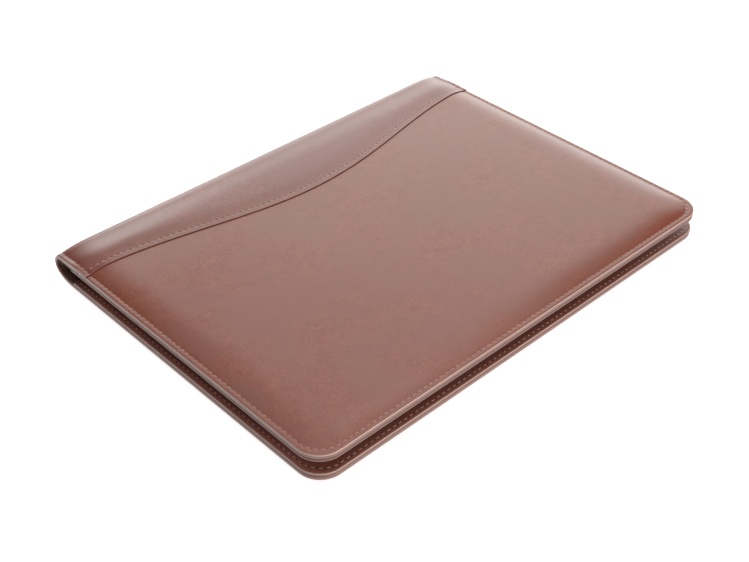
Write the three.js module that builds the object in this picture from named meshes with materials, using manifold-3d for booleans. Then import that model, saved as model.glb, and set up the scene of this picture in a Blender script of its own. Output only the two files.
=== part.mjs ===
// Closed leather document case, lying flat: two padded covers that one leather panel joins round the spine.
// Millimetres, +Z up. +Y runs along the spine, +X goes from the spine to the fore edge, and z = 0 is the
// surface that the padded back rests on.
import * as THREE from 'three';
import { mergeVertices } from 'three/addons/utils/BufferGeometryUtils.js';
import Module from 'manifold-3d';

// Driving dimensions
const LENGTH = 325;              // along the spine
const COVER_WIDTH = 240;         // from the inside of the spine leather to the fore edge
const CORNER_RADIUS = 15;        // fore corners
const INNER_GAP = 8.5;           // clear height between the two inner panels
const COVER_HEM = 3;             // stitched hem of a cover: leather, board and turned edge
const SPINE_HEM = 2.2;           // the same hem where it goes round the back of the spine
const LINING = 1.6;              // inner panel of either cover
const SPINE_LINING = 1;          // soft strip inside the spine
const FRONT_CROWN = 2.3;         // how far the padded front stands above its hem
const BACK_CROWN = 2.6;          // how far the padded back stands below its hem
const SPINE_CROWN = 0.9;         // how far the spine stands out between its stitched ends
const CROWN_INSET = 26;          // from an edge to the level middle of the padding
const EDGE_ROUND = 0.6;          // broken edge of the outer leather
const LINING_ROUND = 0.4;        // broken edge of an inner panel
const ROLL_FRONT = 5;            // how far the spine's curve reaches into the front cover
const ROLL_BACK = 13.4;          // how far it reaches into the back cover
const ROLL_DROP = 5.5;           // from the inside of the front cover down to the spine's widest point
const SEAM_END = 34;             // from the spine to the bowed seam, at the two short sides
const SEAM_BOW = 23.4;           // how much further from the spine the seam is at mid length
const SEAM_LAP = 9;              // width of the front panel that lies under the spine panel
const OVERLAY = 1;               // spine panel's leather where it lies over the front panel
const LINING_START = 17;         // from the spine to the sharp inner edge of either inner panel
const JOINT = 0.3;               // clearance between pieces that lie against each other
const OVERCUT = 2;               // how far a cutting shape runs past what it cuts

// Steps of the meshes
const ROLL_STEPS = 12;
const CORNER_STEPS = 8;
const SEAM_STEPS = 48;
const FRONT_STEPS = 12;
const COVER_STEPS = 4;

// Padding of a cover from its edge inwards, as shares of CROWN_INSET and of the crown
const CROWN_ROWS = [
  { inset: 0.14, rise: 0.02 },
  { inset: 0.24, rise: 0.36 },
  { inset: 0.36, rise: 0.63 },
  { inset: 0.52, rise: 0.84 },
  { inset: 0.74, rise: 0.96 },
  { inset: 1.0, rise: 1.0 },
];

const LEATHER = { color: 0x8b5c4e, roughness: 0.42, metalness: 0 };
const INNER_LEATHER = { color: 0x4b2b23, roughness: 0.6, metalness: 0 };
const SPINE_CLOTH = { color: 0x2c1a15, roughness: 0.8, metalness: 0 };

const HALF_LENGTH = LENGTH / 2;
const BACK_INSIDE = BACK_CROWN + COVER_HEM;
const FRONT_INSIDE = BACK_INSIDE + 2 * (JOINT + LINING) + INNER_GAP;
const ROLL_HEIGHT = FRONT_INSIDE - ROLL_DROP;
const STRAIGHT_END = COVER_WIDTH - CORNER_RADIUS - CROWN_INSET;
const UP = new THREE.Vector3(0, 0, 1);
const DOWN = new THREE.Vector3(0, 0, -1);

const wasm = await Module();
wasm.setup();

/** Distance of the bowed seam from the spine, at a place along the case. */
function seamAt(y) {
  return SEAM_END + (SEAM_BOW * (1 + Math.cos((2 * Math.PI * y) / LENGTH))) / 2;
}

/** A foot stands on the inside of the outer leather and says how thick the hem and the padding are there. */
function foot(x, z, out, crown) {
  const turn = Math.max(0, -out.x);
  const hem = THREE.MathUtils.lerp(COVER_HEM, SPINE_HEM, turn);
  return { x, z, out, hem, crown: THREE.MathUtils.lerp(crown, SPINE_CROWN, turn) };
}

/** Feet of the front cover at even steps, from one distance off the spine to another. */
function frontFeet(from, to, steps) {
  return Array.from({ length: steps + 1 }, (_, step) => {
    const x = THREE.MathUtils.lerp(from, to, step / steps);
    return foot(x, FRONT_INSIDE, UP, FRONT_CROWN);
  });
}

/** Feet of the back cover at even steps. */
function backFeet(from, to, steps) {
  return Array.from({ length: steps + 1 }, (_, step) => {
    const x = THREE.MathUtils.lerp(from, to, step / steps);
    return foot(x, BACK_INSIDE, DOWN, BACK_CROWN);
  });
}

/** Feet round the spine: a quarter ellipse down from the front cover, then a wider one into the back. */
function spineFeet() {
  const climb = ROLL_HEIGHT - BACK_INSIDE;
  const quarters = [
    { reach: ROLL_FRONT, rise: ROLL_DROP, start: Math.PI / 2, crown: FRONT_CROWN },
    { reach: ROLL_BACK, rise: climb, start: Math.PI, crown: BACK_CROWN },
  ];
  return quarters.flatMap(({ reach, rise, start, crown }) =>
    Array.from({ length: ROLL_STEPS - 1 }, (_, step) => {
      const angle = start + ((Math.PI / 2) * (step + 1)) / ROLL_STEPS;
      const out = new THREE.Vector3(Math.cos(angle) / reach, 0, Math.sin(angle) / rise).normalize();
      const x = reach * (1 + Math.cos(angle));
      return foot(x, ROLL_HEIGHT + rise * Math.sin(angle), out, crown);
    }),
  );
}

/** The spine panel's front feet are lifted by its overlay, which runs out to nothing at the spine. */
function overlayFeet() {
  const feet = frontFeet(SEAM_END + SEAM_BOW + OVERCUT, ROLL_FRONT, FRONT_STEPS);
  return feet.map((each) => {
    const lift = THREE.MathUtils.smoothstep(each.x, ROLL_FRONT, SEAM_END - SEAM_LAP);
    return { ...each, hem: each.hem + (JOINT + OVERLAY) * lift };
  });
}

/** One closed line of points at an inset from the edge: near short side, fore side, far short side. */
function ring(feet, inset, height, hasForeEdge) {
  const side = feet.map((each) => ({ each, x: each.x, y: HALF_LENGTH - inset }));
  if (hasForeEdge) {
    const last = feet[feet.length - 1];
    for (let step = 0; step <= CORNER_STEPS; step += 1) {
      const angle = ((Math.PI / 2) * step) / CORNER_STEPS;
      const x = COVER_WIDTH - inset - CORNER_RADIUS * (1 - Math.sin(angle));
      const y = HALF_LENGTH - inset - CORNER_RADIUS * (1 - Math.cos(angle));
      side.push({ each: last, x, y });
    }
  }
  const place = (y) => (point) =>
    new THREE.Vector3(point.x, y * point.y, point.each.z).addScaledVector(point.each.out, height(point.each));
  return [...side.map(place(-1)), ...side.toReversed().map(place(1))];
}

/** Closed solid over one flat ring and the rings above it; the last ring is closed straight across. */
function closedPad(rings) {
  const count = rings[0].length;
  const triangles = [];
  const quad = (a, b, c, d) => triangles.push(a, b, c, a, c, d);
  for (let level = 0; level + 1 < rings.length; level += 1) {
    for (let index = 0; index < count; index += 1) {
      const next = (index + 1) % count;
      const low = level * count;
      quad(low + index, low + next, low + count + next, low + count + index);
    }
  }
  const top = (rings.length - 1) * count;
  for (let index = 0; index + 1 < count / 2; index += 1) {
    const across = count - 1 - index;
    quad(index, across, across - 1, index + 1);
    quad(top + index, top + index + 1, top + across - 1, top + across);
  }
  const geometry = new THREE.BufferGeometry().setFromPoints(rings.flat());
  geometry.setIndex(triangles);
  return outward(geometry);
}

/** Turns the faces of a closed geometry outwards. */
function outward(geometry) {
  const position = geometry.getAttribute('position');
  const index = geometry.getIndex().array;
  const corner = (place) => new THREE.Vector3().fromBufferAttribute(position, index[place]);
  let volume = 0;
  for (let place = 0; place < index.length; place += 3) {
    volume += corner(place).dot(corner(place + 1).cross(corner(place + 2)));
  }
  if (volume < 0) {
    index.reverse();
  }
  return geometry;
}

/** Rings of the outer leather: broken edge, hem, then the padding's rise. */
function leatherPad(feet, { below = 0, above = 0 } = {}) {
  const rows = [
    { inset: 0, height: () => -below },
    { inset: 0, height: (each) => each.hem - EDGE_ROUND + above },
    { inset: EDGE_ROUND, height: (each) => each.hem + above },
    ...CROWN_ROWS.map(({ inset, rise }) => ({
      inset: inset * CROWN_INSET,
      height: (each) => each.hem + each.crown * rise + above,
    })),
  ];
  return closedPad(rows.map(({ inset, height }) => ring(feet, inset, height, true)));
}

/** Rings of a lining that lies against the inside of the leather. */
function liningPad(feet, thickness, hasForeEdge) {
  const rows = [
    { inset: 0, height: -JOINT },
    { inset: 0, height: -JOINT - thickness + LINING_ROUND },
    { inset: LINING_ROUND, height: -JOINT - thickness },
  ];
  return closedPad(rows.map(({ inset, height }) => ring(feet, inset, () => height, hasForeEdge)));
}

/** Everything above the spine's middle that lies further from the spine than the seam, moved by an offset. */
function beyondSeam(offset) {
  const end = HALF_LENGTH + OVERCUT;
  const outline = new THREE.Shape();
  outline.moveTo(COVER_WIDTH + OVERCUT, end);
  outline.lineTo(COVER_WIDTH + OVERCUT, -end);
  outline.lineTo(SEAM_END + offset, -end);
  for (let step = 0; step <= SEAM_STEPS; step += 1) {
    const y = LENGTH * (step / SEAM_STEPS - 0.5);
    outline.lineTo(seamAt(y) + offset, y);
  }
  outline.lineTo(SEAM_END + offset, end);
  const depth = FRONT_INSIDE + COVER_HEM + FRONT_CROWN + JOINT + OVERLAY + OVERCUT - ROLL_HEIGHT;
  const geometry = new THREE.ExtrudeGeometry(outline, { depth, bevelEnabled: false });
  return geometry.translate(0, 0, ROLL_HEIGHT);
}

/** Closed geometry as a solid that can be cut. */
function toSolid(geometry) {
  const bare = geometry.clone();
  bare.deleteAttribute('normal');
  bare.deleteAttribute('uv');
  const merged = mergeVertices(bare);
  return new wasm.Manifold(
    new wasm.Mesh({
      numProp: 3,
      vertProperties: new Float32Array(merged.getAttribute('position').array),
      triVerts: new Uint32Array(merged.getIndex().array),
    }),
  );
}

/** A cut solid back as geometry. */
function toGeometry(solid) {
  const mesh = solid.getMesh();
  const geometry = new THREE.BufferGeometry();
  geometry.setAttribute('position', new THREE.BufferAttribute(new Float32Array(mesh.vertProperties), 3));
  geometry.setIndex(new THREE.BufferAttribute(new Uint32Array(mesh.triVerts), 1));
  return geometry;
}

/** Padded front panel, from its tongue under the seam to the fore edge. */
function frontPanel() {
  const whole = leatherPad(frontFeet(SEAM_END - SEAM_LAP - OVERCUT, STRAIGHT_END - OVERCUT, COVER_STEPS));
  return toGeometry(toSolid(whole).intersect(toSolid(beyondSeam(-SEAM_LAP))));
}

/** Spine panel: overlay on the front as far as the seam, round the spine, and on as the padded back. */
function wrapPanel() {
  const feet = [
    ...overlayFeet(),
    ...spineFeet(),
    ...backFeet(ROLL_BACK, STRAIGHT_END - OVERCUT, COVER_STEPS),
  ];
  const frontFrom = SEAM_END - SEAM_LAP - OVERCUT;
  const frontSpace = leatherPad(frontFeet(frontFrom, STRAIGHT_END - OVERCUT, COVER_STEPS), {
    below: OVERCUT,
    above: JOINT,
  });
  const tongueSpace = toSolid(frontSpace).intersect(toSolid(beyondSeam(-SEAM_LAP - JOINT)));
  return toGeometry(toSolid(leatherPad(feet)).subtract(toSolid(beyondSeam(0))).subtract(tongueSpace));
}

/** Strip inside the spine, between the sharp edges of the two inner panels. */
function spineLining() {
  const edge = LINING_START - JOINT;
  const feet = [...frontFeet(edge, ROLL_FRONT, 1), ...spineFeet(), ...backFeet(ROLL_BACK, edge, 1)];
  return liningPad(feet, SPINE_LINING, false);
}

/** A named piece with its own colour. */
function piece(name, geometry, finish) {
  const body = geometry.clone();
  body.computeVertexNormals();
  const mesh = new THREE.Mesh(body, new THREE.MeshStandardMaterial(finish));
  mesh.name = name;
  return mesh;
}

const frontLiningFeet = frontFeet(LINING_START, STRAIGHT_END - OVERCUT, COVER_STEPS);
const backLiningFeet = backFeet(LINING_START, STRAIGHT_END - OVERCUT, COVER_STEPS);

const documentCase = new THREE.Group();
documentCase.add(
  piece('front_panel', frontPanel(), LEATHER),
  piece('wrap_panel', wrapPanel(), LEATHER),
  piece('spine_lining', spineLining(), SPINE_CLOTH),
  piece('front_lining', liningPad(frontLiningFeet, LINING, true), INNER_LEATHER),
  piece('back_lining', liningPad(backLiningFeet, LINING, true), INNER_LEATHER),
);
documentCase.position.x = -(COVER_WIDTH - SPINE_HEM - SPINE_CROWN) / 2;

export default documentCase;
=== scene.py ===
"""Dressed model of a closed leather document case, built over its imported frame.

Blender's units are metres. Shapes are worked out in millimetres, in the frame's own axes: +X from the spine
to the fore edge, +Y along the spine and +Z up, and are scaled when a mesh is written.
"""
import logging
import math
from dataclasses import dataclass, field, replace
from enum import Enum
from typing import Any, ClassVar, Sequence, Union

import bmesh
import bpy
import numpy as np
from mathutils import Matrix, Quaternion, Vector


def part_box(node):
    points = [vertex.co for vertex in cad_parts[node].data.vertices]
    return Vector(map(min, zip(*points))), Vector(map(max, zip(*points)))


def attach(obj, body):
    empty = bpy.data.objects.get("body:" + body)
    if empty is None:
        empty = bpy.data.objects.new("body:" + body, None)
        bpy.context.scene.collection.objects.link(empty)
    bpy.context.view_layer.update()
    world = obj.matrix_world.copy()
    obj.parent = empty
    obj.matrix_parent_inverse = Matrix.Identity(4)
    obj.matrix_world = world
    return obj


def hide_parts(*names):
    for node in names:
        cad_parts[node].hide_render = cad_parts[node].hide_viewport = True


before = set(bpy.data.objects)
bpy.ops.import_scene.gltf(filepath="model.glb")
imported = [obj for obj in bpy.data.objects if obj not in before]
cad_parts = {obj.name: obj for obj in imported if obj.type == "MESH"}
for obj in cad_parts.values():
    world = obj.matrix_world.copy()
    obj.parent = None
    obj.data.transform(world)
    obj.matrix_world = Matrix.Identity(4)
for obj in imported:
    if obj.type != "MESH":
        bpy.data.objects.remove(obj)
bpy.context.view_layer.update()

MM = 0.001
LOG = logging.getLogger("document_case")
Colour = tuple[float, float, float]
Span = tuple[float, float]
Marks = dict[str, np.ndarray]
WHITE: Colour = (1.0, 1.0, 1.0)
COOL: Colour = (0.94, 0.99, 0.965)
WARM: Colour = (1.0, 0.96, 0.915)


class Slot(Enum):
    """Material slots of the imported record."""

    OUTER = "outer_leather"
    INNER = "inner_leather"
    SPINE = "spine_lining"
    THREAD = "stitching"


class Cover(Enum):
    """The two covers, by the way that their outsides face."""

    FRONT = 1.0
    BACK = -1.0


def smooth(low: float, high: float, value: np.ndarray) -> np.ndarray:
    """Soft step from 0 at low to 1 at high."""
    share = np.clip((value - low) / (high - low), 0.0, 1.0)
    return share * share * (3.0 - 2.0 * share)


def bell(centre: float, width: float, value: np.ndarray) -> np.ndarray:
    """Bell of height 1 round a centre."""
    return np.exp(-(((value - centre) / width) ** 2))


def quads(grid: np.ndarray) -> np.ndarray:
    """Faces of a grid of vertex numbers."""
    return np.stack([grid[:-1, :-1], grid[1:, :-1], grid[1:, 1:], grid[:-1, 1:]], -1).reshape(-1, 4)


@dataclass(frozen=True)
class Wave:
    """One slow wave over the leather, with its lengths along u and y in millimetres."""

    along_u: float
    along_y: float
    shift: float
    height: float = 1.0

    def at(self, u: np.ndarray, y: np.ndarray) -> np.ndarray:
        """The wave's height at each place."""
        return np.sin(u / self.along_u + y / self.along_y + self.shift) * self.height


@dataclass(frozen=True)
class CaseForm:
    """Sizes of the case in millimetres; a distance u is measured from the inside of the spine leather.

    The first five come from the frame, and the next are the sizes that its solids were drawn with. From
    stitch_inset on they are those of the stitches, the grooves they pull and the leather's slow unevenness.
    """

    half_length: float
    spine: float
    reach: float
    front_inside: float
    back_inside: float
    joint: float = 0.3
    corner_radius: float = 15.0
    corner_clear: float = 1.0
    cover_hem: float = 3.0
    spine_hem: float = 2.2
    front_crown: float = 2.3
    back_crown: float = 2.6
    spine_crown: float = 0.9
    crown_start: float = 3.6
    crown_inset: float = 26.0
    crown_power: float = 3.2
    roll_front: float = 5.0
    roll_back: float = 13.4
    roll_drop: float = 5.5
    seam_end: float = 34.0
    seam_bow: float = 23.4
    seam_lap: float = 9.0
    overlay: float = 1.15
    skived: float = 0.5
    skive_start: float = 2.0
    skive_end: float = 18.0
    lining: float = 1.6
    spine_lining: float = 1.0
    lining_start: float = 17.0
    slack: float = 0.1
    stitch_inset: float = 3.0
    seam_stitch: float = 4.2
    stitch_pitch: float = 4.1
    stitch_groove: float = 0.07
    hem_groove_width: float = 0.6
    seam_groove_width: float = 0.7
    ripple_height: float = 0.13
    ripple_rise: Span = (4.0, 20.0)
    waves: tuple[Wave, ...] = (
        Wave(17.0, 41.0, 0.7),
        Wave(33.0, -23.0, 2.1),
        Wave(11.0, 57.0, 4.0, 0.6),
        Wave(-71.0, 13.0, 1.3, 0.6),
    )

    @classmethod
    def from_frame(cls) -> "CaseForm":
        """Reads the case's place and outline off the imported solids.

        Returns:
            The form, in millimetres.
        """
        wrap = [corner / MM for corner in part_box("wrap_panel")]
        front = [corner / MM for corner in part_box("front_panel")]
        spine_strip = [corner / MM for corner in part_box("spine_lining")]
        back_sheet = [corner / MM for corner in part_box("back_lining")]
        spine = spine_strip[0].x - cls.joint
        return cls(
            half_length=wrap[1].y,
            spine=spine,
            reach=wrap[1].x - spine,
            front_inside=front[0].z,
            back_inside=back_sheet[0].z - cls.joint,
        )

    @property
    def roll_height(self) -> float:
        """Height of the spine's widest point."""
        return self.front_inside - self.roll_drop

    @property
    def straight_end(self) -> float:
        """Distance from the spine at which the inmost corner arc begins."""
        return self.reach - self.corner_radius - self.crown_inset - self.corner_clear

    def seam(self, y: np.ndarray) -> np.ndarray:
        """Distance of the bowed seam from the spine at places y along the case."""
        return self.seam_end + self.seam_bow * (1.0 + np.cos(np.pi * y / self.half_length)) / 2.0

    def crown_share(self, inset: np.ndarray) -> np.ndarray:
        """Share of the padding's height at a distance from the edge."""
        share = np.clip((inset - self.crown_start) / (self.crown_inset - self.crown_start), 0.0, 1.0)
        return 1.0 - (1.0 - share) ** self.crown_power

    def ripple(self, u: np.ndarray, y: np.ndarray, inset: np.ndarray) -> np.ndarray:
        """Height of the slow unevenness of soft leather over foam, which leaves the hem flat."""
        level = sum(wave.at(u, y) for wave in self.waves) / sum(wave.height for wave in self.waves)
        return self.ripple_height * level * smooth(*self.ripple_rise, inset)

    def hem_groove(self, inset: np.ndarray) -> np.ndarray:
        """Depth of the groove that the hem's stitches pull."""
        return self.stitch_groove * bell(self.stitch_inset, self.hem_groove_width, inset)

    def padding(self, u: np.ndarray, y: np.ndarray, inset: np.ndarray) -> np.ndarray:
        """Height of the front cover's padded leather over its inside."""
        height = self.cover_hem + self.front_crown * self.crown_share(inset)
        return height + self.ripple(u, y, inset) - self.hem_groove(inset)


@dataclass
class Feet:
    """Stations along a short side, each standing on the inside of the outer leather.

    A station lies at u = base + follow * seam(y), so that it may keep step with the bowed seam. front is 1
    on the front cover's level part and 0 elsewhere.
    """

    base: np.ndarray
    follow: np.ndarray
    height: np.ndarray
    out_x: np.ndarray
    out_z: np.ndarray
    hem: np.ndarray
    crown: np.ndarray
    front: np.ndarray

    @classmethod
    def flat(
        cls, form: CaseForm, cover: Cover, base: Sequence[float], follow: Union[float, Sequence[float]] = 0.0
    ) -> "Feet":
        """Stations on a cover's level part.

        Args:
            form: The case's sizes.
            cover: Which cover they stand on.
            base: Part of each distance that does not follow the seam.
            follow: Share of the seam's distance that each one follows.

        Returns:
            The stations, in the order given.
        """
        ones = np.ones(len(base))
        is_front = cover is Cover.FRONT
        return cls(
            base=np.asarray(base, float),
            follow=ones * follow,
            height=ones * (form.front_inside if is_front else form.back_inside),
            out_x=ones * 0.0,
            out_z=ones * cover.value,
            hem=ones * form.cover_hem,
            crown=ones * (form.front_crown if is_front else form.back_crown),
            front=ones * float(is_front),
        )

    @classmethod
    def off_seam(cls, form: CaseForm, near: Sequence[float], end: float, steps: int) -> "Feet":
        """Stations on the front cover that keep step with the seam and then leave it.

        Args:
            form: The case's sizes.
            near: Distances from the seam of those that keep step.
            end: Distance of the last station from the spine.
            steps: Steps from the last one that keeps step to the end.

        Returns:
            The stations, in that order.
        """
        share = np.linspace(0.0, 1.0, steps + 1)[1:]
        base = list(near) + list(near[-1] + (end - near[-1]) * share)
        return cls.flat(form, Cover.FRONT, base, [1.0] * len(near) + list(1.0 - share))

    @classmethod
    def spine(cls, form: CaseForm, steps: int) -> "Feet":
        """Stations round the spine, from the front cover down into the back.

        Args:
            form: The case's sizes.
            steps: Steps in each of the two quarter ellipses.

        Returns:
            The stations between the two level parts, without the level parts' own ends.
        """
        angle = np.linspace(0.0, np.pi / 2.0, steps + 1)[1:]
        rise, fall = angle, angle[::-1][1:]
        climb = form.roll_height - form.back_inside
        x = np.concatenate([form.roll_front * (1 - np.sin(rise)), form.roll_back * (1 - np.sin(fall))])
        z = form.roll_height + np.concatenate([form.roll_drop * np.cos(rise), -climb * np.cos(fall)])
        out_x = np.concatenate([-np.sin(rise) / form.roll_front, -np.sin(fall) / form.roll_back])
        out_z = np.concatenate([np.cos(rise) / form.roll_drop, -np.cos(fall) / climb])
        size = np.hypot(out_x, out_z)
        out_x, out_z = out_x / size, out_z / size
        turn = np.clip(-out_x, 0.0, 1.0)
        crown = np.where(out_z > 0.0, form.front_crown, form.back_crown)
        return cls(
            base=x,
            follow=x * 0.0,
            height=z,
            out_x=out_x,
            out_z=out_z,
            hem=form.cover_hem + (form.spine_hem - form.cover_hem) * turn,
            crown=crown + (form.spine_crown - crown) * turn,
            front=x * 0.0,
        )

    @classmethod
    def join(cls, *parts: "Feet") -> "Feet":
        """One run of stations out of several."""
        names = cls.__dataclass_fields__
        return cls(**{name: np.concatenate([getattr(part, name) for part in parts]) for name in names})

    def turned_in(self) -> "Feet":
        """The same stations for a lining, which grows into the case."""
        return replace(self, out_x=-self.out_x, out_z=-self.out_z)


@dataclass
class Spots:
    """A block of surface places: distances u and y, inset from the edge, station and lost thickness."""

    u: np.ndarray
    y: np.ndarray
    inset: np.ndarray
    station: np.ndarray
    lost: np.ndarray


@dataclass(frozen=True)
class HemProfile:
    """Rows from a sheet's edge inwards, outside and hidden, whose first ones round off the edge.

    lost is the share of the thickness missing from the outside, and gained the share that the hidden side
    rises by.
    """

    outer_inset: tuple[float, ...] = (0.0, 0.0, 0.06, 0.2, 0.45, 0.8, 1.2)
    lost: tuple[float, ...] = (0.84, 0.42, 0.22, 0.1, 0.03, 0.006, 0.0)
    hidden_inset: tuple[float, ...] = (0.05, 0.16, 0.3, 0.45, 0.65, 0.95, 1.25)
    gained: tuple[float, ...] = (0.1, 0.035, 0.01, 0.0, 0.0, 0.0, 0.0)
    further: tuple[float, ...] = (
        1.7, 2.1, 2.4, 2.65, 2.85, 3.0, 3.15, 3.35, 3.6, 4.0, 4.6, 5.4, 6.4, 7.6, 9.0, 10.6, 12.5, 14.6,
        17.0, 19.8, 22.8, 26.0,
    )

    def outside(self) -> tuple[np.ndarray, np.ndarray]:
        """Insets and lost shares of the outside's rows."""
        return np.array(self.outer_inset + self.further), np.array(self.lost + (0.0,) * len(self.further))

    def hidden(self) -> tuple[np.ndarray, np.ndarray]:
        """Insets and gained shares of the hidden side's rows."""
        return np.array(self.hidden_inset + self.further), np.array(self.gained + (0.0,) * len(self.further))


class StitchLine:
    """The line that a row of stitches follows, with the way out of the leather along it."""

    def __init__(self, points: np.ndarray, out: np.ndarray, pitch: float, clear: float) -> None:
        """Fits whole stitches between the line's two ends.

        Args:
            points: Points along the line, in millimetres.
            out: Unit vectors out of the leather at those points.
            pitch: Wanted length of a stitch.
            clear: Distance of the first and the last stitch from the line's ends.
        """
        self.points = points
        self.out = out
        steps = np.linalg.norm(np.diff(points, axis=0), axis=1)
        self.run = np.concatenate([[0.0], np.cumsum(steps)])
        self.start = clear
        length = self.run[-1] - clear - clear
        self.count = max(1, round(length / pitch))
        self.pitch = length / self.count

    def at(self, count: np.ndarray) -> tuple[np.ndarray, np.ndarray]:
        """Finds places on the line.

        Args:
            count: The places, counted in stitches.

        Returns:
            Points and unit vectors out of the leather.
        """
        run = self.start + count * self.pitch
        place = np.stack([np.interp(run, self.run, self.points[:, axis]) for axis in range(3)], -1)
        out = np.stack([np.interp(run, self.run, self.out[:, axis]) for axis in range(3)], -1)
        return place, out / np.linalg.norm(out, axis=-1, keepdims=True)

    def counted(self, run: np.ndarray) -> np.ndarray:
        """Runs along the line as counts of stitches."""
        return (run - self.start) / self.pitch


def write_piece(name: str, points: np.ndarray, faces: np.ndarray, marks: Marks) -> bpy.types.Object:
    """Writes a closed mesh, smooth and facing outwards, and rides it on the case's body.

    Args:
        name: The piece's name.
        points: Vertices in millimetres.
        faces: Vertex numbers, four to a face.
        marks: Values for each vertex, kept as attributes for the finish.

    Returns:
        The object, linked to the scene.
    """
    mesh = bpy.data.meshes.new(name)
    mesh.vertices.add(len(points))
    mesh.vertices.foreach_set("co", (points * MM).astype(np.float32).ravel())
    mesh.loops.add(faces.size)
    mesh.loops.foreach_set("vertex_index", faces.astype(np.int32).ravel())
    mesh.polygons.add(len(faces))
    mesh.polygons.foreach_set("loop_start", np.arange(0, faces.size, faces.shape[1], dtype=np.int32))
    mesh.update(calc_edges=True)
    for mark, values in marks.items():
        layer = mesh.attributes.new(mark, "FLOAT", "POINT")
        layer.data.foreach_set("value", values.astype(np.float32).ravel())
    work = bmesh.new()
    work.from_mesh(mesh)
    bmesh.ops.delete(work, geom=[vert for vert in work.verts if not vert.link_faces], context="VERTS")
    bmesh.ops.recalc_face_normals(work, faces=work.faces)
    work.to_mesh(mesh)
    work.free()
    mesh.polygons.foreach_set("use_smooth", np.ones(len(mesh.polygons), bool))
    mesh.update()
    piece = bpy.data.objects.new(name, mesh)
    bpy.context.scene.collection.objects.link(piece)
    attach(piece, "root")
    return piece


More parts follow.
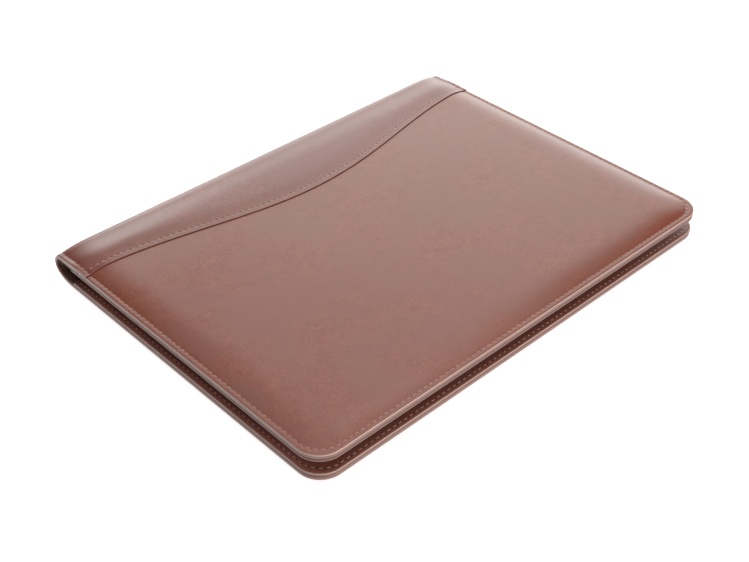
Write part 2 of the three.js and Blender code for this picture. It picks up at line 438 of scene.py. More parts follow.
@dataclass
class LeatherSheet:
    """A thick sheet with a hem round its short sides and, where it has one, its fore side.

    Stations run along a short side and round the corner, rows run from the edge inwards, and columns
    straight across the middle join the two short sides.
    """

    form: CaseForm
    profile: HemProfile = field(default_factory=HemProfile)
    corner_steps: int = 14
    middle_steps: int = 60
    has_corners: ClassVar[bool] = True
    off_seam: ClassVar[float] = 60.0

    def __post_init__(self) -> None:
        """Works out the stations and the row of stitches."""
        self.feet = self.stations()
        self.sides = len(self.feet.base)
        self.across = np.linspace(-1.0, 1.0, self.middle_steps + 1)[1:-1]
        self.line = self.hem_line()

    def stations(self) -> Feet:
        """Stations of the near short side, from the open end to the corner."""
        raise NotImplementedError

    def outside(self, spots: Spots) -> np.ndarray:
        """Height of the shown side over the feet."""
        raise NotImplementedError

    def hidden(self, spots: Spots) -> np.ndarray:
        """Height of the hidden side over the feet; a lining's lies on the outer leather."""
        return spots.u * 0.0 + self.form.slack

    def hem_start(self) -> float:
        """Distance of the first stitch of the hem from the open end."""
        return self.form.stitch_pitch / 2.0

    def behind(self, spots: Spots) -> np.ndarray:
        """Distance behind the seam."""
        return self.form.seam(spots.y) - spots.u

    def marks(self, spots: Spots) -> Marks:
        """Values for the finish, apart from the hem's own; a plain sheet is far from the seam."""
        return {"seam_inset": spots.u * 0.0 + self.off_seam, "seam_count": spots.u * 0.0}

    def _sides(self, inset: np.ndarray) -> tuple[np.ndarray, np.ndarray, np.ndarray]:
        """Lays rows out along a short side and round its corner.

        Args:
            inset: Distance from the edge of each row.

        Returns:
            Distances u and positive y, a row for each inset, and the station of each column.
        """
        form = self.form
        row = inset[:, None]
        y = form.half_length - row + np.zeros(self.sides)
        u = self.feet.base + self.feet.follow * form.seam(y)
        station = np.arange(self.sides)
        if self.has_corners:
            angle = np.linspace(0.0, np.pi / 2.0, self.corner_steps + 1)
            u = np.hstack([u, form.reach - row - form.corner_radius * (1.0 - np.sin(angle))])
            y = np.hstack([y, form.half_length - row - form.corner_radius * (1.0 - np.cos(angle))])
            station = np.concatenate([station, np.full(self.corner_steps + 1, self.sides - 1)])
        return u, y, station

    def blocks(self, inset: np.ndarray, lost: np.ndarray) -> list[Spots]:
        """The sheet's surface as the near rows, the middle, the far rows and the fore side's rows.

        Args:
            inset: Distance from the edge of each row.
            lost: Share of the thickness that each row lacks.

        Returns:
            The blocks of spots; a sheet without corners has no fore side.
        """
        form = self.form
        u, y, station = self._sides(inset)
        rows = inset[:, None] + np.zeros_like(u)
        falls = lost[:, None] + np.zeros_like(u)
        middle_y = self.across[:, None] * y[-1]
        middle_u = np.repeat(u[-1:], len(self.across), 0)
        middle_u[:, : self.sides] = self.feet.base + self.feet.follow * form.seam(middle_y[:, : self.sides])
        middle = Spots(middle_u, middle_y, middle_u * 0.0 + inset[-1], station, middle_u * 0.0)
        found = [Spots(u, -y, rows, station, falls), middle, Spots(u, y, rows, station, falls)]
        if self.has_corners:
            fore_y = self.across * (form.half_length - inset[:, None] - form.corner_radius)
            rows = inset[:, None] + fore_y * 0.0
            falls = lost[:, None] + fore_y * 0.0
            last = np.full(len(self.across), self.sides - 1)
            found.append(Spots(form.reach - rows, fore_y, rows, last, falls))
        return found

    def place(self, spots: Spots, height: np.ndarray) -> np.ndarray:
        """Raises points over their feet.

        Args:
            spots: The spots that they stand on.
            height: Height over the feet.

        Returns:
            Points in the frame's axes.
        """
        feet = self.feet
        x = self.form.spine + spots.u + feet.out_x[spots.station] * height
        z = feet.height[spots.station] + feet.out_z[spots.station] * height
        return np.stack([x, spots.y, z], -1)

    def hem_line(self) -> StitchLine:
        """Follows the edge from the near side's open end to the far side's.

        Returns:
            The line of the row of stitches near the edge.
        """
        inset = np.array([self.form.stitch_inset, self.form.crown_inset])
        blocks = self.blocks(inset, np.zeros(2))
        near, far, fore = blocks[0], blocks[2], blocks[3:]
        points, outs = [], []
        for part in [near, *fore, far]:
            order = slice(None, None, -1) if part is far else slice(None)
            feet_x, feet_z = self.feet.out_x[part.station], self.feet.out_z[part.station]
            points.append(self.place(part, self.outside(part))[0][order])
            outs.append(np.stack([feet_x, feet_x * 0.0, feet_z], -1)[order])
        pitch, clear = self.form.stitch_pitch, self.hem_start()
        return StitchLine(np.concatenate(points), np.concatenate(outs), pitch, clear)

    def _runs(self, block: int) -> np.ndarray:
        """Measures along the hem.

        Args:
            block: Number of a block of spots.

        Returns:
            Run along the hem of each of its columns.
        """
        columns = self.sides + (self.corner_steps + 1 if self.has_corners else 0)
        near = self.line.run[:columns]
        far = self.line.run[-columns:][::-1]
        return [near, (near + far) / 2.0, far, self.line.run[columns:-columns]][block]

    def _side(self, is_outer: bool, first: int) -> tuple[np.ndarray, np.ndarray, np.ndarray, Marks]:
        """One face of the sheet.

        Args:
            is_outer: True for the shown side.
            first: Number of the side's first vertex.

        Returns:
            Points, faces, the vertex numbers round the edge, and the marks.
        """
        inset, change = self.profile.outside() if is_outer else self.profile.hidden()
        points, numbers, parts = [], [], {}
        for block, spots in enumerate(self.blocks(inset, change)):
            low, high = self.hidden(spots), self.outside(spots)
            share = 1.0 - spots.lost if is_outer else spots.lost
            placed = self.place(spots, low + (high - low) * share)
            numbers.append(first + np.arange(spots.u.size).reshape(spots.u.shape))
            first += spots.u.size
            points.append(placed.reshape(-1, 3))
            found = self.marks(spots)
            found["hem_inset"] = spots.inset
            found["hem_count"] = self.line.counted(self._runs(block))
            found["sunk"] = 1.0 - share + spots.u * 0.0
            for mark, values in found.items():
                parts.setdefault(mark, []).append(np.broadcast_to(values, spots.u.shape).ravel())
        near, middle, far = numbers[:3]
        grid = np.vstack([near, middle, far[::-1]])
        faces = [quads(grid)]
        if self.has_corners:
            numbers[3][-1] = middle[:, -1]
            fore = np.hstack([near[:, -1:], numbers[3], far[:, -1:]])
            faces.append(quads(fore))
            other_end = fore[0, 1:-1]
        else:
            other_end = grid[1:-1, -1]
        loop = np.concatenate([grid[0], other_end, grid[-1, ::-1], grid[-2:0:-1, 0]])
        marks = {mark: np.concatenate(values) for mark, values in parts.items()}
        return np.concatenate(points), np.concatenate(faces), loop, marks

    def build(self, name: str) -> bpy.types.Object:
        """Writes the sheet as one closed mesh.

        Args:
            name: The piece's name.

        Returns:
            The object.
        """
        shown, shown_faces, shown_loop, shown_marks = self._side(True, 0)
        back, back_faces, back_loop, back_marks = self._side(False, len(shown))
        wall = np.stack([shown_loop, np.roll(shown_loop, -1), np.roll(back_loop, -1), back_loop], -1)
        faces = np.concatenate([shown_faces, back_faces, wall])
        marks = {mark: np.concatenate([shown_marks[mark], back_marks[mark]]) for mark in shown_marks}
        return write_piece(name, np.concatenate([shown, back]), faces, marks)


@dataclass
class FrontPanel(LeatherSheet):
    """The front cover's padded leather, from its tongue under the overlay to the fore edge."""

    near_seam: tuple[float, ...] = (-8.9, -6.0, -3.0, -1.4, -0.6, -0.1, 0.3, 0.9, 2.0, 4.0, 7.0, 11.0)
    level_steps: int = 16
    first_stitch: float = 0.75

    def stations(self) -> Feet:
        """Stations that leave the seam's curve on their way to the fore edge."""
        return Feet.off_seam(self.form, self.near_seam, self.form.straight_end, self.level_steps)

    def hem_start(self) -> float:
        """The first stitch stands clear of the overlay's edge."""
        return -self.near_seam[0] + self.form.stitch_pitch * self.first_stitch

    def outside(self, spots: Spots) -> np.ndarray:
        """The padded top."""
        return self.form.padding(spots.u, spots.y, spots.inset)

    def hidden(self, spots: Spots) -> np.ndarray:
        """The side that lies on the lining."""
        return spots.u * 0.0

    def marks(self, spots: Spots) -> Marks:
        """Distance behind the seam."""
        behind = self.behind(spots)
        return {"seam_inset": behind, "seam_count": behind * 0.0}

    def make(self) -> bpy.types.Object:
        """Builds the panel in place of its solid.

        Returns:
            The object.
        """
        piece = self.build("front_leather")
        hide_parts("front_panel")
        return piece


@dataclass
class WrapPanel(LeatherSheet):
    """One padded leather: the overlay on the front cover, the spine and the whole back cover."""

    behind_seam: tuple[float, ...] = (
        0.0, 0.02, 0.06, 0.13, 0.24, 0.42, 0.7, 1.2, 2.0, 3.0, 3.5, 3.85, 4.1, 4.35, 4.7, 5.2, 6.0, 7.2, 8.6,
        9.02, 9.4, 10.8, 12.5,
    )
    fold_radius: float = 0.42
    fold_least: float = 0.04
    lap_fall: Span = (0.04, 0.38)
    overlay_steps: int = 9
    spine_steps: int = 14
    back_steps: int = 14
    seam_points: int = 651
    seam_end_gap: float = 4.6

    def __post_init__(self) -> None:
        """Works out the stations and both rows of stitches."""
        super().__post_init__()
        self.seam_y = np.linspace(-self.form.half_length, self.form.half_length, self.seam_points)
        self.seam_line = self._seam_line()

    def stations(self) -> Feet:
        """Lays stations from the seam over the spine to the back's fore edge.

        Returns:
            The stations.
        """
        form = self.form
        near = [-behind for behind in self.behind_seam]
        overlay = Feet.off_seam(form, near, form.roll_front, self.overlay_steps)
        level = np.linspace(form.roll_back, form.straight_end, self.back_steps + 1)
        return Feet.join(overlay, Feet.spine(form, self.spine_steps), Feet.flat(form, Cover.BACK, level))

    def _on_front(self, spots: Spots) -> np.ndarray:
        """True for spots on the front cover's level part."""
        return self.feet.front[spots.station] > 0.5

    def _lift(self, spots: Spots) -> np.ndarray:
        """Raises the overlay over the front panel, with a folded edge.

        Args:
            spots: The spots.

        Returns:
            Height over the front panel.
        """
        form = self.form
        behind = self.behind(spots)
        full = form.skived + (form.overlay - form.skived) * smooth(form.skive_start, form.skive_end, behind)
        level = (form.slack + full) * smooth(form.roll_front, form.seam_end - form.seam_lap, spots.u)
        fold = np.clip(behind / self.fold_radius, self.fold_least, 1.0)
        return level * np.sqrt(1.0 - (1.0 - fold) ** 2)

    def outside(self, spots: Spots) -> np.ndarray:
        """The padded outside, which lies on the front panel as far as the seam.

        Args:
            spots: The spots.

        Returns:
            Height over the feet.
        """
        form, feet = self.form, self.feet
        sewn = form.stitch_groove * bell(form.seam_stitch, form.seam_groove_width, self.behind(spots))
        overlay = form.padding(spots.u, spots.y, spots.inset) + self._lift(spots) - sewn
        around = feet.hem[spots.station] + feet.crown[spots.station] * form.crown_share(spots.inset)
        up = np.clip(feet.out_z[spots.station], 0.0, 1.0)
        around = around + up * form.ripple(spots.u, spots.y, spots.inset) - form.hem_groove(spots.inset)
        return np.where(self._on_front(spots), overlay, around)

    def hidden(self, spots: Spots) -> np.ndarray:
        """The side that lies on the front panel's tongue, and past it on the linings.

        Args:
            spots: The spots.

        Returns:
            Height over the feet.
        """
        form = self.form
        start, end = self.lap_fall
        over = 1.0 - smooth(form.seam_lap + start, form.seam_lap + end, self.behind(spots))
        height = over * (form.padding(spots.u, spots.y, spots.inset) + form.slack)
        return np.where(self._on_front(spots), height, 0.0)

    def marks(self, spots: Spots) -> Marks:
        """Marks the seam's leather.

        Args:
            spots: The spots.

        Returns:
            Distance behind the seam, large off the front cover, and the count of the seam's stitches.
        """
        behind = np.where(self._on_front(spots), self.behind(spots), self.off_seam)
        run = np.interp(spots.y, self.seam_y, self.seam_line.run)
        return {"seam_inset": behind, "seam_count": self.seam_line.counted(run)}

    def _seam_line(self) -> StitchLine:
        """Follows the seam from the near end to the far one.

        Returns:
            The line of the row of stitches behind the seam.
        """
        y = self.seam_y[:, None]
        u = self.form.seam(y) - self.form.seam_stitch
        spots = Spots(u, y, self.form.half_length - np.abs(y), np.zeros(1, int), u * 0.0)
        points = self.place(spots, self.outside(spots))[:, 0]
        out = np.zeros_like(points)
        out[:, 2] = 1.0
        return StitchLine(points, out, self.form.stitch_pitch, self.seam_end_gap)

    def make(self) -> bpy.types.Object:
        """Builds the wrap in place of its solid.

        Returns:
            The object.
        """
        piece = self.build("spine_leather")
        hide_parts("wrap_panel")
        return piece


@dataclass
class CoverLining(LeatherSheet):
    """The thin leather that lines one cover and shows its own stitches."""

    cover: Cover = Cover.BACK
    level_steps: int = 14

    def stations(self) -> Feet:
        """Evenly spaced stations from the spine hollow to the fore edge."""
        base = np.linspace(self.form.lining_start, self.form.straight_end, self.level_steps + 1)
        return Feet.flat(self.form, self.cover, base).turned_in()

    def outside(self, spots: Spots) -> np.ndarray:
        """The side that faces the papers."""
        return self.form.joint + self.form.lining - self.form.hem_groove(spots.inset)

    def make(self) -> bpy.types.Object:
        """Builds the lining in place of its solid.

        Returns:
            The object.
        """
        word = self.cover.name.lower()
        piece = self.build(f"{word}_inner_leather")
        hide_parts(f"{word}_lining")
        return piece


@dataclass
class SpineLining(LeatherSheet):
    """The strip that lines the hollow of the spine, between the two covers' linings."""

    front_stations: int = 5
    spine_steps: int = 14
    back_stations: int = 3
    butt: float = 0.04
    has_corners: ClassVar[bool] = False

    def stations(self) -> Feet:
        """Lays stations from under the front cover round to the back cover.

        Returns:
            The stations.
        """
        form = self.form
        end = form.lining_start - self.butt
        front = Feet.flat(form, Cover.FRONT, np.linspace(end, form.roll_front, self.front_stations))
        back = Feet.flat(form, Cover.BACK, np.linspace(form.roll_back, end, self.back_stations))
        return Feet.join(front, Feet.spine(form, self.spine_steps), back).turned_in()

    def outside(self, spots: Spots) -> np.ndarray:
        """The side that faces the papers."""
        return spots.u * 0.0 + self.form.joint + self.form.spine_lining

    def make(self) -> bpy.types.Object:
        """Builds the strip in place of its solid.

        Returns:
            The object.
        """
        piece = self.build("spine_inner_lining")
        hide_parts("spine_lining")
        return piece


@dataclass
class Stitching:
    """A row of twisted threads, each sunk into its holes at both ends."""

    line: StitchLine
    name: str
    thickness: float = 0.62
    share: float = 0.4
    above: float = 0.02
    below: float = 0.5
    dip_power: float = 3.0
    slant: float = 0.1
    end_power: float = 6.0
    end_least: float = 0.04
    twists: float = 1.6
    groove: float = 0.22
    flatness: float = 0.55
    rings: int = 13
    sides: int = 10

    def make(self) -> bpy.types.Object:
        """Builds every thread of the row as one piece.

        Returns:
            The object.
        """
        along = np.linspace(-1.0, 1.0, self.rings)
        count = np.arange(self.line.count)[:, None] + 0.5 + along * self.share
        place, out = self.line.at(count)
        step = np.gradient(place, axis=1)
        forward = step / np.linalg.norm(step, axis=-1, keepdims=True)
        aside = np.cross(forward, out)
        lift = self.above - (self.above + self.below) * np.abs(along) ** self.dip_power
        place = place + out * lift[:, None] + aside * (self.slant * along)[:, None]
        plump = np.sqrt(np.clip(1.0 - np.abs(along) ** self.end_power, self.end_least, 1.0))
        turn = np.linspace(0.0, 2.0 * np.pi, self.sides, endpoint=False)
        twist = turn[None, :] + along[:, None] * self.twists * np.pi
        lobes = 1.0 - self.groove * (1.0 - np.abs(np.cos(twist)))
        radius = self.thickness / 2.0 * plump[:, None] * lobes
        rise = np.sin(turn)[:, None] * self.flatness
        around = np.cos(turn)[:, None] * aside[:, :, None, :] + rise * out[:, :, None, :]
        points = place[:, :, None, :] + around * radius[..., None]
        numbers = np.arange(points[..., 0].size).reshape(points.shape[:3])
        looped = np.concatenate([numbers, numbers[:, :, :1]], 2)
        faces = [quads(thread) for thread in looped] + self._caps(numbers)
        return write_piece(self.name, points.reshape(-1, 3), np.concatenate(faces), {})

    def _caps(self, numbers: np.ndarray) -> list[np.ndarray]:
        """Closes the first and last ring of each thread.

        Args:
            numbers: Vertex numbers by thread, ring and side.

        Returns:
            Four-sided faces.
        """
        caps = []
        for ring in (numbers[:, 0], numbers[:, -1]):
            for low in range(self.sides // 2 - 1):
                high = self.sides - 1 - low
                caps.append(np.stack([ring[:, low], ring[:, low + 1], ring[:, high - 1], ring[:, high]], -1))
        return caps


class Wire:
    """A value on its way through a material, so that shader sums read as Python expressions."""

    def __init__(self, bench: "Bench", socket: bpy.types.NodeSocket) -> None:
        """Keeps the socket and the bench that it is on."""
        self.bench = bench
        self.socket = socket

    def _math(self, operation: str, first: "Value", second: "Value") -> "Wire":
        """Adds one Math node."""
        return self.bench.node("ShaderNodeMath", {"operation": operation}, {0: first, 1: second})

    def __add__(self, other: "Value") -> "Wire":
        """Sum."""
        return self._math("ADD", self, other)

    def __radd__(self, other: "Value") -> "Wire":
        """Sum with a number on the left."""
        return self._math("ADD", other, self)

    def __sub__(self, other: "Value") -> "Wire":
        """Difference."""
        return self._math("SUBTRACT", self, other)

    def __rsub__(self, other: "Value") -> "Wire":
        """Difference from a number on the left."""
        return self._math("SUBTRACT", other, self)

    def __mul__(self, other: "Value") -> "Wire":
        """Product."""
        return self._math("MULTIPLY", self, other)

    def __rmul__(self, other: "Value") -> "Wire":
        """Product with a number on the left."""
        return self._math("MULTIPLY", other, self)

    def __truediv__(self, other: "Value") -> "Wire":
        """Quotient."""
        return self._math("DIVIDE", self, other)

    def __pow__(self, other: "Value") -> "Wire":
        """Power."""
        return self._math("POWER", self, other)

    def off_whole(self) -> "Wire":
        """Distance from the nearest whole number."""
        return self._math("PINGPONG", self, 0.5)

    def step(self, low: float, high: float) -> "Wire":
        """Soft step from 0 at low to 1 at high."""
        span = {"Value": self, "From Min": low, "From Max": high}
        return self.bench.node("ShaderNodeMapRange", {"interpolation_type": "SMOOTHSTEP"}, span)

    def near(self, centre: float, width: float) -> "Wire":
        """1 at a centre, falling softly to 0 at a width from it."""
        away = self.bench.node("ShaderNodeMath", {"operation": "ABSOLUTE"}, {0: self - centre})
        return 1.0 - away.step(0.0, width)


Value = Union[Wire, float, Colour]


class Bench:
    """A new material and the calls that add nodes to it."""

    def __init__(self, name: str) -> None:
        """Makes an empty node material.

        Args:
            name: The material's name.
        """
        self.material = bpy.data.materials.new(name)
        self.material.use_nodes = True
        self.tree = self.material.node_tree
        self.tree.nodes.clear()

    def node(
        self,
        kind: str,
        settings: dict[str, Any],
        values: dict[Union[int, str], Value],
        output: Union[int, str, None] = 0,
    ) -> Union[Wire, None]:
        """Adds a node.

        Args:
            kind: The node's type.
            settings: Its properties, which are set first.
            values: Values or wires for its sockets, by name or number.
            output: The socket that the returned wire starts from, or None for a node that ends the tree.

        Returns:
            A wire from the node, if it has an output.
        """
        made = self.tree.nodes.new(kind)
        for setting, value in settings.items():
            setattr(made, setting, value)
        for key, value in values.items():
            socket = made.inputs[key]
            if isinstance(value, Wire):
                self.tree.links.new(value.socket, socket)
            elif isinstance(value, tuple) and socket.type == "RGBA":
                socket.default_value = (*value, 1.0)
            else:
                socket.default_value = value
        return None if output is None else Wire(self, made.outputs[output])

    def mark(self, name: str) -> Wire:
        """A value that the mesh carries at each vertex."""
        return self.node("ShaderNodeAttribute", {"attribute_name": name}, {}, "Fac")

    def place(self) -> Wire:
        """The point on the piece, in metres."""
        return self.node("ShaderNodeTexCoord", {}, {}, "Object")

    def noise(self, place: Wire, size: float, detail: float) -> Wire:
        """Soft noise from about 0 to 1, with blobs of a size in millimetres."""
        values = {"Vector": place, "Scale": 1.0 / (size * MM), "Detail": detail}
        return self.node("ShaderNodeTexNoise", {}, values)

    def larger(self, first: Value, second: Value) -> Wire:
        """The larger of two values."""
        return self.node("ShaderNodeMath", {"operation": "MAXIMUM"}, {0: first, 1: second})

    def blend(self, share: Value, first: Value, second: Value) -> Wire:
        """Colour from first, at 0, to second, at 1."""
        return self.node("ShaderNodeMix", {"data_type": "RGBA"}, {"Factor": share, 6: first, 7: second}, 2)

    def bump(self, height: Value, depth: float, under: Union[Wire, None] = None) -> Wire:
        """Bumps of a depth in millimetres for a height from 0 to 1, over other bumps."""
        below = {} if under is None else {"Normal": under}
        return self.node("ShaderNodeBump", {}, {"Height": height, "Distance": depth * MM, **below})

    def surface(self, values: dict[str, Value]) -> Wire:
        """A surface with values and wires for its sockets."""
        return self.node("ShaderNodeBsdfPrincipled", {}, values)

    def mixed(self, share: Wire, first: Wire, second: Wire) -> Wire:
        """Surface from first, at 0, to second, at 1."""
        return self.node("ShaderNodeMixShader", {}, {0: share, 1: first, 2: second})

    def finish(self, surface: Wire) -> bpy.types.Material:
        """Ends the material with its surface."""
        self.node("ShaderNodeOutputMaterial", {}, {"Surface": surface}, None)
        return self.material


@dataclass(frozen=True)
class LeatherFinish:
    """Waxed full-grain leather: clouded, paler and greyer at its edges, with a painted highlight on each
    edge's rounded top and painted shade in holes, seam and joint.

    Sizes, widths and depths are in millimetres. A span is the two values between which a soft step rises,
    and hole_rim is one in radii of a hole.
    """

    name: str
    form: CaseForm
    ground: Colour
    deep: Colour
    cloudy: Colour
    edge_colour: Colour
    # Dark colour painted as shade in the needle holes, along the seam's fold and in the joint between
    # layers.
    hole: Colour
    roughness: float = 0.285
    uneven: float = 0.025
    specular: float = 0.5
    pebble_size: float = 1.1
    pebble_softness: float = 0.6
    pebble_depth: float = 0.022
    pore_size: float = 0.4
    pore_depth: float = 0.005
    speck_size: float = 1.7
    speck_span: Span = (0.25, 0.75)
    speck_share: float = 0.65
    blob_size: float = 7.0
    blob_span: Span = (0.3, 0.7)
    cloud_size: float = 32.0
    cloud_span: Span = (0.35, 0.65)
    cloud_share: float = 0.8
    edge_span: Span = (0.1, 0.7)
    edge_least: float = 0.7
    edge_patchy: float = 0.45
    pucker_width: float = 2.6
    pucker_span: Span = (0.0, 0.9)
    pucker_depth: float = 0.06
    hole_radius: float = 0.31
    hole_rim: Span = (0.6, 1.3)
    hole_clear: Span = (1.0, 1.8)
    # Painted highlight: a pale colour laid along the rounded top of each edge, where the hem's first rows
    # lose thickness.
    rim_highlight: Colour = (0.58, 0.41, 0.355)
    rim_place: float = 0.16
    rim_width: float = 0.2
    rim_span: Span = (0.15, 0.6)
    rim_share: float = 0.8
    # Painted shade in the joint between layers: the hidden side, seen in the crease at the edge, is
    # darkened.
    joint_shade_span: Span = (0.89, 0.98)
    joint_dark: float = 0.3
    # Width of the painted shade line where the overlay's folded edge meets the front panel.
    seam_shade_width: float = 0.28
    pit_roughness: float = 0.8
    pit_specular: float = 0.1

    def material(self) -> bpy.types.Material:
        """Makes the material.

        Returns:
            The material.
        """
        bench = Bench(self.name)
        place = bench.place()
        specks = bench.noise(place, self.speck_size, detail=2.0)
        blobs = bench.noise(place, self.blob_size, detail=3.0)
        clouds = bench.noise(place, self.cloud_size, detail=3.0)
        hem = bench.mark("hem_inset")
        seam = bench.mark("seam_inset")
        hem_row = (hem, self.form.stitch_inset, bench.mark("hem_count"))
        seam_row = (seam, self.form.seam_stitch, bench.mark("seam_count"))
        # Where painted shade goes in the needle holes, faded out near the edge.
        holes = bench.larger(self._holes(*hem_row), self._holes(*seam_row)) * hem.step(*self.hole_clear)

        mottle = specks.step(*self.speck_span) * self.speck_share
        mottle = mottle + blobs.step(*self.blob_span) * (1.0 - self.speck_share)
        colour = bench.blend(mottle, self.deep, self.ground)
        colour = bench.blend(clouds.step(*self.cloud_span) * self.cloud_share, colour, self.cloudy)
        # Paler, greyer colour over the edge faces, patchy with the blobs.
        edge_share = (1.0 - hem.step(*self.edge_span)) * (self.edge_least + blobs * self.edge_patchy)
        colour = bench.blend(edge_share, colour, self.edge_colour)
        sunk = bench.mark("sunk")
        # Painted highlight: pale line on the rounded top of the edge, fading out a little way in from the
        # edge.
        rim_highlight = sunk.near(self.rim_place, self.rim_width) * (1.0 - hem.step(*self.rim_span)) * self.rim_share
        colour = bench.blend(rim_highlight, colour, self.rim_highlight)
        # Painted shade: darkens the hidden side, which shows in the crease between a sheet's edge and the
        # one under it.
        joint = sunk.step(*self.joint_shade_span) * self.joint_dark
        # Painted shade along the seam under the overlay's fold, together with the shade in the layers'
        # joint.
        groove = bench.larger(joint, seam.near(0.0, self.seam_shade_width))

        grain = {"Vector": place, "Scale": 1.0 / (self.pebble_size * MM), "Smoothness": self.pebble_softness}
        pebble = bench.node("ShaderNodeTexVoronoi", {"feature": "SMOOTH_F1"}, grain, "Distance")
        normal = bench.bump(self._puckers(*hem_row) + self._puckers(*seam_row), self.pucker_depth)
        normal = bench.bump(pebble, self.pebble_depth, normal)
        normal = bench.bump(bench.noise(place, self.pore_size, detail=1.0), self.pore_depth, normal)
        leather = bench.surface(
            {
                "Base Color": colour,
                "Roughness": self.roughness + (mottle + clouds) * self.uneven,
                "Specular IOR Level": self.specular,
                "Normal": normal,
            }
        )
        # Painted shade: a dark, rough, dull surface mixed in over the needle holes, the seam's fold and the
        # layers' joint.
        pit_shade = bench.surface(
            {
                "Base Color": self.hole,
                "Roughness": self.pit_roughness,
                "Specular IOR Level": self.pit_specular,
                "Normal": normal,
            }
        )
        return bench.finish(bench.mixed(bench.larger(groove, holes), leather, pit_shade))

    def _holes(self, inset: Wire, centre: float, count: Wire) -> Wire:
        """Finds the needle holes of a row of stitches, at whole counts, where dark shade is painted.

        Args:
            inset: Distance across the row.
            centre: Where the row lies on it.
            count: Distance along the row, counted in stitches.

        Returns:
            1 in a hole and 0 off it.
        """
        along = count.off_whole() * self.form.stitch_pitch
        across = inset - centre
        distance = (along * along + across * across) ** 0.5
        return 1.0 - distance.step(*(self.hole_radius * edge for edge in self.hole_rim))

    def _puckers(self, inset: Wire, centre: float, count: Wire) -> Wire:
        """Low swellings on both sides of each stitch, pinched in at its holes."""
        return inset.near(centre, self.pucker_width) * (count.off_whole() * 2.0).step(*self.pucker_span)


@dataclass(frozen=True)
class ThreadFinish:
    """Thick waxed thread with fine fibres."""

    name: str
    pale: Colour
    shade: Colour
    fibre_size: float = 0.22
    fibre_share: float = 0.7
    fibre_depth: float = 0.02
    length_size: float = 3.0
    length_share: float = 0.5
    darker: float = 0.1
    roughness: float = 0.32
    uneven: float = 0.15
    specular: float = 0.5
    sheen: float = 0.25
    sheen_roughness: float = 0.5

    def material(self) -> bpy.types.Material:
        """Makes the material.

        Returns:
            The material.
        """
        bench = Bench(self.name)
        place = bench.place()
        fibres = bench.noise(place, self.fibre_size, detail=2.0)
        lengths = bench.noise(place, self.length_size, detail=1.0)
        paleness = fibres * self.fibre_share + lengths * self.length_share - self.darker
        colour = bench.blend(paleness, self.shade, self.pale)
        thread = bench.surface(
            {
                "Base Color": colour,
                "Roughness": self.roughness + fibres * self.uneven,
                "Specular IOR Level": self.specular,
                "Sheen Weight": self.sheen,
                "Sheen Roughness": self.sheen_roughness,
                "Normal": bench.bump(fibres, self.fibre_depth),
            }
        )
        return bench.finish(thread)


@dataclass(frozen=True)
class ClothFinish:
    """Plain woven lining."""

    name: str
    pale: Colour
    shade: Colour
    thread: float = 0.45
    thread_scale: float = 20.0
    distortion: float = 0.6
    roughness: float = 0.85
    specular: float = 0.12
    depth: float = 0.08

    def _threads(self, bench: Bench, place: Wire, axis: str) -> Wire:
        """Runs threads across one axis.

        Args:
            bench: The material's bench.
            place: The point on the piece.
            axis: The axis, as a capital letter.

        Returns:
            1 on a thread and 0 between two.
        """
        values = {
            "Vector": place,
            "Scale": 1.0 / (self.thread * MM * self.thread_scale),
            "Distortion": self.distortion,
            "Detail": 1.0,
        }
        bands = {"wave_type": "BANDS", "bands_direction": axis}
        return bench.node("ShaderNodeTexWave", bands, values, "Fac")

    def material(self) -> bpy.types.Material:
        """Makes the material.

        Returns:
            The material.
        """
        bench = Bench(self.name)
        place = bench.place()
        weft, warp = self._threads(bench, place, "Y"), self._threads(bench, place, "Z")
        cloth = weft * 0.5 + warp * 0.5
        woven = bench.surface(
            {
                "Base Color": bench.blend(cloth, self.shade, self.pale),
                "Roughness": self.roughness,
                "Specular IOR Level": self.specular,
                "Normal": bench.bump(cloth, self.depth),
            }
        )
        return bench.finish(woven)


@dataclass(frozen=True)
class FloorFinish:
    """Matt white studio floor."""

    name: str = "studio_floor"
    shade: float = 0.45
    glow: float = 0.88
    roughness: float = 0.9
    specular: float = 0.1

    def material(self) -> bpy.types.Material:
        """Makes the material.

        Returns:
            The material.
        """
        bench = Bench(self.name)
        matt = bench.surface(
            {
                "Base Color": (self.shade, self.shade, self.shade),
                "Roughness": self.roughness,
                "Specular IOR Level": self.specular,
                "Emission Color": WHITE,
                "Emission Strength": self.glow,
            }
        )
        return bench.finish(matt)


@dataclass(frozen=True)
class Softbox:
    """A rectangular light: its direction and distance from the case, size, radiance and colour."""

    name: str
    turn: float
    rise: float
    distance: float
    width: float
    height: float
    brightness: float
    colour: Colour


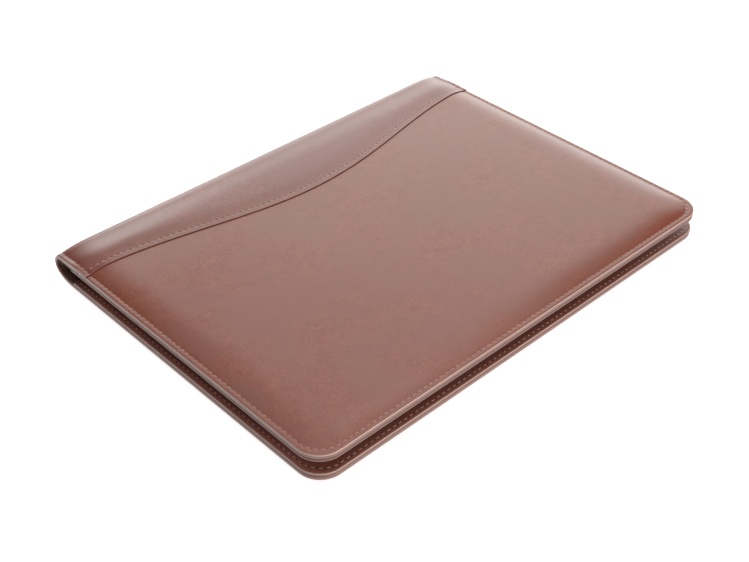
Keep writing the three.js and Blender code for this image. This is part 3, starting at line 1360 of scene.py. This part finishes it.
@dataclass(frozen=True)
class Studio:
    """Pale floor, soft light and the photograph's camera. Distances are in metres and angles in degrees."""

    camera_turn: float = 46.673
    camera_rise: float = 38.016
    camera_distance: float = 0.75814
    target: Colour = (0.01709, -0.02526, 0.00273)
    lens: float = 59.854
    sensor: float = 36.0
    nearest: float = 0.02
    furthest: float = 60.0
    floor_size: float = 14.0
    floor_drop: float = 0.0002
    surround: float = 0.09
    softboxes: tuple[Softbox, ...] = (
        Softbox("low_softbox", 223.5, 21.5, 1.6, 1.66, 1.07, 2.9, COOL),
        Softbox("horizon_softbox", 220.0, 11.0, 1.6, 2.0, 0.56, 1.15, COOL),
        Softbox("high_softbox", 222.5, 48.5, 1.6, 0.83, 0.48, 1.75, WARM),
        Softbox("top_softbox", 226.0, 88.0, 1.25, 1.62, 1.62, 1.9, WARM),
        Softbox("shoulder_softbox", 200.0, 60.0, 1.6, 0.7, 0.36, 1.75, WARM),
        Softbox("left_softbox", 257.0, 21.5, 1.6, 0.52, 0.62, 2.6, COOL),
        Softbox("fore_softbox", 95.0, 10.0, 1.7, 1.4, 0.5, 9.5, WARM),
    )

    def away(self, turn: float, rise: float) -> Vector:
        """Direction from the case, with turn 0 towards -Y and 90 towards +X."""
        level, up = math.radians(turn), math.radians(rise)
        return Vector((math.sin(level) * math.cos(up), -math.cos(level) * math.cos(up), math.sin(up)))

    def stand(self, name: str, data: bpy.types.ID, place: Vector, turned: Quaternion) -> bpy.types.Object:
        """Stands a camera or a light in the scene.

        Args:
            name: The object's name.
            data: The camera or light.
            place: Where it stands.
            turned: How it is turned.

        Returns:
            The object.
        """
        stood = bpy.data.objects.new(name, data)
        stood.location = place
        stood.rotation_mode = "QUATERNION"
        stood.rotation_quaternion = turned
        bpy.context.scene.collection.objects.link(stood)
        return stood

    def camera(self) -> None:
        """Places the camera."""
        data = bpy.data.cameras.new("photograph_camera")
        data.lens = self.lens
        data.sensor_width = self.sensor
        data.clip_start, data.clip_end = self.nearest, self.furthest
        back = self.away(self.camera_turn, self.camera_rise)
        place = Vector(self.target) + back * self.camera_distance
        camera = self.stand("photograph_camera", data, place, (-back).to_track_quat("-Z", "Y"))
        bpy.context.scene.camera = camera

    def light(self, box: Softbox) -> None:
        """Places a softbox so that it faces the case.

        Args:
            box: The softbox.
        """
        data = bpy.data.lights.new(box.name, "AREA")
        data.shape = "RECTANGLE"
        data.size = box.width
        data.size_y = box.height
        data.energy = box.brightness * math.pi * box.width * box.height
        data.color = box.colour
        toward = self.away(box.turn, box.rise)
        light = self.stand(box.name, data, toward * box.distance, toward.to_track_quat("Z", "Y"))
        light.visible_camera = False

    def world(self) -> None:
        """Sets an even white surround."""
        world = bpy.data.worlds.new("studio_surround")
        world.use_nodes = True
        background = world.node_tree.nodes["Background"]
        background.inputs["Color"].default_value = (*WHITE, 1.0)
        background.inputs["Strength"].default_value = self.surround
        bpy.context.scene.world = world

    def floor(self) -> None:
        """Lays the floor just under the case."""
        half = self.floor_size / 2.0
        mesh = bpy.data.meshes.new("studio_floor")
        corners = [(-half, -half, 0.0), (half, -half, 0.0), (half, half, 0.0), (-half, half, 0.0)]
        mesh.from_pydata(corners, [], [(0, 1, 2, 3)])
        mesh.materials.append(FloorFinish().material())
        floor = bpy.data.objects.new("studio_floor", mesh)
        floor.location.z = -self.floor_drop
        bpy.context.scene.collection.objects.link(floor)

    def build(self) -> None:
        """Builds the whole studio."""
        self.camera()
        self.world()
        self.floor()
        for box in self.softboxes:
            self.light(box)
        bpy.context.scene.view_settings.view_transform = "Standard"


@dataclass(frozen=True)
class Finishes:
    """The materials of the case's pieces."""

    front: bpy.types.Material
    wrap: bpy.types.Material
    shaded_roof: bpy.types.Material
    inner: bpy.types.Material
    spine: bpy.types.Material
    matched_thread: bpy.types.Material
    seam_thread: bpy.types.Material
    pale_thread: bpy.types.Material

    @classmethod
    def make(cls, form: CaseForm) -> "Finishes":
        """Makes them.

        Args:
            form: The case's sizes, which the stitch holes are placed by.

        Returns:
            The materials.
        """
        front = LeatherFinish(
            name="waxed_front_leather",
            form=form,
            ground=(0.214, 0.047, 0.022),
            deep=(0.147, 0.022, 0.006),
            cloudy=(0.168, 0.041, 0.022),
            edge_colour=(0.20, 0.109, 0.089),
            # Dark colour painted as shade in needle holes, seam fold and joint.
            hole=(0.085, 0.021, 0.012),
        )
        wrap = replace(
            front,
            name="waxed_wrap_leather",
            ground=(0.192, 0.045, 0.030),
            deep=(0.128, 0.020, 0.010),
            cloudy=(0.152, 0.038, 0.026),
        )
        inner = LeatherFinish(
            name="waxed_inner_leather",
            form=form,
            ground=(0.300, 0.115, 0.088),
            deep=(0.250, 0.092, 0.070),
            cloudy=(0.275, 0.115, 0.090),
            edge_colour=(0.20, 0.109, 0.089),
            # Dark colour painted as shade in needle holes and the joint between layers.
            hole=(0.040, 0.014, 0.010),
            roughness=0.42,
        )
        # Shaded copy of the inner leather for the front cover's lining: its darker edge colour and dimmer
        # edge line paint the shade under the front cover.
        shaded_roof = replace(
            inner,
            name="shaded_front_inner_leather",
            edge_colour=(0.165, 0.088, 0.072),
            rim_highlight=(0.30, 0.19, 0.16),
        )
        spine = ClothFinish("spine_lining_cloth", pale=(0.13, 0.062, 0.05), shade=(0.07, 0.032, 0.026))
        matched = ThreadFinish("matched_thread", pale=(0.37, 0.165, 0.118), shade=(0.27, 0.10, 0.066))
        seam = ThreadFinish("seam_thread", pale=(0.37, 0.205, 0.155), shade=(0.28, 0.135, 0.10))
        pale = ThreadFinish("pale_thread", pale=(0.68, 0.45, 0.38), shade=(0.46, 0.28, 0.22))
        return cls(*(finish.material() for finish in (front, wrap, shaded_roof, inner, spine, matched, seam, pale)))


def dress(piece: bpy.types.Object, material: bpy.types.Material) -> None:
    """Gives a piece its finish, and reports it.

    Args:
        piece: The piece.
        material: The piece's own material.
    """
    piece.data.materials.clear()
    piece.data.materials.append(material)
    LOG.info("%s: %d faces", piece.name, len(piece.data.polygons))


def main() -> None:
    """Builds the case, its stitches and the studio."""
    logging.basicConfig(level=logging.INFO, format="%(message)s")
    form = CaseForm.from_frame()
    finishes = Finishes.make(form)
    front = FrontPanel(form)
    wrap = WrapPanel(form)
    front_lining = CoverLining(form, cover=Cover.FRONT)
    back_lining = CoverLining(form, cover=Cover.BACK)
    dress(front.make(), finishes.front)
    dress(wrap.make(), finishes.wrap)
    dress(front_lining.make(), finishes.shaded_roof)
    dress(back_lining.make(), finishes.inner)
    dress(SpineLining(form).make(), finishes.spine)
    rows = [
        (Stitching(front.line, "front_hem_stitches"), finishes.matched_thread),
        (Stitching(wrap.line, "back_hem_stitches"), finishes.matched_thread),
        (Stitching(wrap.seam_line, "seam_stitches"), finishes.seam_thread),
        (Stitching(front_lining.line, "front_inner_stitches"), finishes.pale_thread),
        (Stitching(back_lining.line, "back_inner_stitches"), finishes.pale_thread),
    ]
    for row, thread in rows:
        dress(row.make(), thread)
    Studio().build()


if __name__ == "__main__":
    main()
